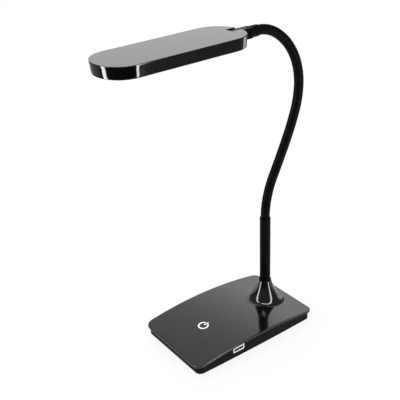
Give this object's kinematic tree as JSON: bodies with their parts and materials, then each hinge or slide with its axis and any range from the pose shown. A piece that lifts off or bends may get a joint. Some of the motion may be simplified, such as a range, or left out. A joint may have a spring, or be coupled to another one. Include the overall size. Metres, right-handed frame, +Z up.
{
  "type": "gooseneck desk lamp",
  "caption": "Black desk lamp with a flat rectangular LED head on a flexible gooseneck and short stem, on a weighted base with touch switch, USB charging socket and DC inlet.",
  "frame": {"origin": "centre of the flat face of the non-slip pad that the lamp stands on", "axes": "+Z up, -Y towards the user, over whom the head reaches, +Y towards the neck, +X the side with the USB socket"},
  "size_m": [0.102, 0.2399, 0.3337],
  "materials": {
    "foot_pad": "matte",
    "base_tray": "satin",
    "base_cover": "gloss",
    "touch_sign": "translucent",
    "copper": "satin",
    "ballast": "rough",
    "steel": "satin",
    "circuit_board": "satin",
    "led_laminate": "satin",
    "components": "matte",
    "usb_steel": "satin",
    "usb_insulator": "satin",
    "contacts": "polished",
    "jack": "satin",
    "stem": "satin",
    "plug": "matte",
    "neck": "satin",
    "ferrule": "satin",
    "head": "gloss",
    "bezel": "satin",
    "diffuser": "frosted",
    "heat_plate": "satin",
    "leds": "satin"
  },
  "bodies": {
    "base": {"ballast_plate": "ballast", "base_cover": "base_cover", "base_pad": "foot_pad", "base_screws": "steel", "base_tray": "base_tray", "board_parts": "components", "board_screws": "steel", "control_board": "circuit_board", "dc_jack": "jack", "dc_pin": "contacts", "icon_light_guide": "touch_sign", "neck_link_00": "neck", "neck_root_plug": "plug", "stem_collar": "stem", "stem_nut": "steel", "stem_tube": "stem", "stem_washer": "steel", "touch_electrode": "copper", "usb_contacts": "contacts", "usb_shell": "usb_steel", "usb_tongue": "usb_insulator"},
    "link_01": {"neck_link_01": "neck"},
    "link_02": {"neck_link_02": "neck"},
    "link_03": {"neck_link_03": "neck"},
    "link_04": {"neck_link_04": "neck"},
    "link_05": {"neck_link_05": "neck"},
    "link_06": {"neck_link_06": "neck"},
    "link_07": {"neck_link_07": "neck"},
    "link_08": {"neck_link_08": "neck"},
    "link_09": {"neck_link_09": "neck"},
    "link_10": {"neck_link_10": "neck", "neck_ferrule": "ferrule"},
    "head": {"head_shell": "head", "head_bezel": "bezel", "diffuser": "diffuser", "heat_plate": "heat_plate", "led_board": "led_laminate", "leds": "leds", "head_screws": "steel", "hinge_pin": "steel", "hinge_washers": "steel"}
  },
  "joints": [
    {"name": "neck_joint_0", "type": "hinge", "parent": "base", "child": "link_01", "pos_m": [0, 0.052, 0.1206], "axis": [1, 0, 0], "range_deg": [-30, 30]},
    {"name": "neck_joint_1", "type": "hinge", "parent": "link_01", "child": "link_02", "pos_m": [0, 0.05493, 0.14499], "axis": [0, 0.9715, -0.2368], "range_deg": [-30, 30]},
    {"name": "neck_joint_2", "type": "hinge", "parent": "link_02", "child": "link_03", "pos_m": [0, 0.06349, 0.16801], "axis": [1, 0, 0], "range_deg": [-30, 30]},
    {"name": "neck_joint_3", "type": "hinge", "parent": "link_03", "child": "link_04", "pos_m": [0, 0.07448, 0.19004], "axis": [0, 0.8996, -0.4368], "range_deg": [-30, 30]},
    {"name": "neck_joint_4", "type": "hinge", "parent": "link_04", "child": "link_05", "pos_m": [0, 0.08476, 0.21241], "axis": [1, 0, 0], "range_deg": [-30, 30]},
    {"name": "neck_joint_5", "type": "hinge", "parent": "link_05", "child": "link_06", "pos_m": [0, 0.09342, 0.23544], "axis": [0, 0.9527, -0.304], "range_deg": [-30, 30]},
    {"name": "neck_joint_6", "type": "hinge", "parent": "link_06", "child": "link_07", "pos_m": [0, 0.09779, 0.2596], "axis": [-1, 0, 0], "range_deg": [-30, 30]},
    {"name": "neck_joint_7", "type": "hinge", "parent": "link_07", "child": "link_08", "pos_m": [0, 0.0947, 0.2839], "axis": [0, -0.9548, -0.2974], "range_deg": [-30, 30]},
    {"name": "neck_joint_8", "type": "hinge", "parent": "link_08", "child": "link_09", "pos_m": [0, 0.08332, 0.30558], "axis": [-1, 0, 0], "range_deg": [-30, 30]},
    {"name": "neck_joint_9", "type": "hinge", "parent": "link_09", "child": "link_10", "pos_m": [0, 0.06495, 0.32177], "axis": [0, -0.5135, -0.8581], "range_deg": [-30, 30]},
    {"name": "head_tilt", "type": "hinge", "parent": "link_10", "child": "head", "pos_m": [0, 0.01226, 0.3271], "axis": [1, 0, 0], "range_deg": [-30, 90]}
  ]
}
